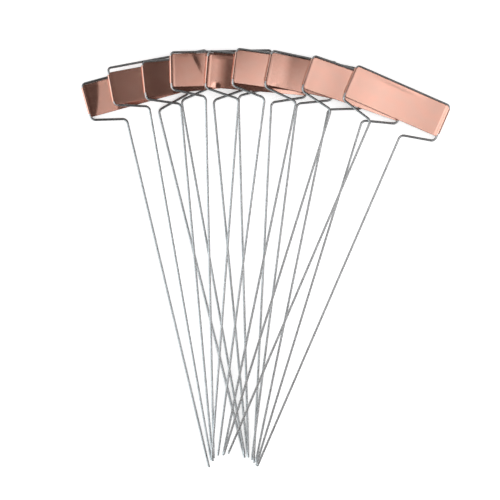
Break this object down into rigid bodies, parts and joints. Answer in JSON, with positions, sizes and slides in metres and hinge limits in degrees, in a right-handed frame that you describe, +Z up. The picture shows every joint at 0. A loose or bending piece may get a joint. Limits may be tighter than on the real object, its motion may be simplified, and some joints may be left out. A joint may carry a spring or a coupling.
{
  "type": "plant label stake",
  "caption": "Wire plant markers laid in a fan, each a bent galvanised wire whose head frame holds a blank copper name plate with rolled side hems.",
  "frame": {"origin": "on the table under the middle of the fan of stakes", "axes": "+Z up from the table, +Y from the bare wire tips towards the labels, +X towards the stake that lies on top of the fan"},
  "size_m": [0.2443, 0.2777, 0.0175],
  "materials": {
    "galvanised_wire": "dull galvanised, slightly brighter at the bends",
    "copper_sheet": "bare mill copper, satin, softly dented by hand"
  },
  "bodies": {
    "stake_1": {"stake_1_wire": "galvanised_wire"},
    "label_1": {"stake_1_label": "copper_sheet"},
    "stake_2": {"stake_2_wire": "galvanised_wire"},
    "label_2": {"stake_2_label": "copper_sheet"},
    "stake_3": {"stake_3_wire": "galvanised_wire"},
    "label_3": {"stake_3_label": "copper_sheet"},
    "stake_4": {"stake_4_wire": "galvanised_wire"},
    "label_4": {"stake_4_label": "copper_sheet"},
    "stake_5": {"stake_5_wire": "galvanised_wire"},
    "label_5": {"stake_5_label": "copper_sheet"},
    "stake_6": {"stake_6_wire": "galvanised_wire"},
    "label_6": {"stake_6_label": "copper_sheet"},
    "stake_7": {"stake_7_wire": "galvanised_wire"},
    "label_7": {"stake_7_label": "copper_sheet"},
    "stake_8": {"stake_8_wire": "galvanised_wire"},
    "label_8": {"stake_8_label": "copper_sheet"},
    "stake_9": {"stake_9_wire": "galvanised_wire"},
    "label_9": {"stake_9_label": "copper_sheet"}
  },
  "joints": [
    {"name": "label_slide_1", "type": "slide", "parent": "stake_1", "child": "label_1", "axis": [-0.2639, 0.9646, 0.0016], "range_m": [-0.00234, 0.00066]},
    {"name": "lift_2", "type": "slide", "parent": "stake_1", "child": "stake_2", "axis": [0, 0, 1], "range_m": [0, 0.025]},
    {"name": "label_slide_2", "type": "slide", "parent": "stake_2", "child": "label_2", "axis": [-0.1826, 0.9831, 0.0092], "range_m": [-0.00024, 0.00276]},
    {"name": "lift_3", "type": "slide", "parent": "stake_2", "child": "stake_3", "axis": [0, 0, 1], "range_m": [0, 0.025]},
    {"name": "label_slide_3", "type": "slide", "parent": "stake_3", "child": "label_3", "axis": [-0.1043, 0.9945, 0.0015], "range_m": [-0.00255, 0.00045]},
    {"name": "lift_4", "type": "slide", "parent": "stake_3", "child": "stake_4", "axis": [0, 0, 1], "range_m": [0, 0.025]},
    {"name": "label_slide_4", "type": "slide", "parent": "stake_4", "child": "label_4", "axis": [-0.0236, 0.9997, -0.0064], "range_m": [-0.00225, 0.00075]},
    {"name": "lift_5", "type": "slide", "parent": "stake_4", "child": "stake_5", "axis": [0, 0, 1], "range_m": [0, 0.025]},
    {"name": "label_slide_5", "type": "slide", "parent": "stake_5", "child": "label_5", "axis": [0.0816, 0.9965, -0.0165], "range_m": [-0.00111, 0.00189]},
    {"name": "lift_6", "type": "slide", "parent": "stake_5", "child": "stake_6", "axis": [0, 0, 1], "range_m": [0, 0.025]},
    {"name": "label_slide_6", "type": "slide", "parent": "stake_6", "child": "label_6", "axis": [0.133, 0.9909, -0.0195], "range_m": [-0.00234, 0.00066]},
    {"name": "lift_7", "type": "slide", "parent": "stake_6", "child": "stake_7", "axis": [0, 0, 1], "range_m": [0, 0.025]},
    {"name": "label_slide_7", "type": "slide", "parent": "stake_7", "child": "label_7", "axis": [0.2029, 0.9789, -0.0253], "range_m": [-0.00198, 0.00102]},
    {"name": "lift_8", "type": "slide", "parent": "stake_7", "child": "stake_8", "axis": [0, 0, 1], "range_m": [0, 0.025]},
    {"name": "label_slide_8", "type": "slide", "parent": "stake_8", "child": "label_8", "axis": [0.3247, 0.9451, -0.0369], "range_m": [-0.00234, 0.00066]},
    {"name": "lift_9", "type": "slide", "parent": "stake_8", "child": "stake_9", "axis": [0, 0, 1], "range_m": [0, 0.025]},
    {"name": "label_slide_9", "type": "slide", "parent": "stake_9", "child": "label_9", "axis": [0.3962, 0.9172, -0.0414], "range_m": [-0.00273, 0.00027]}
  ]
}
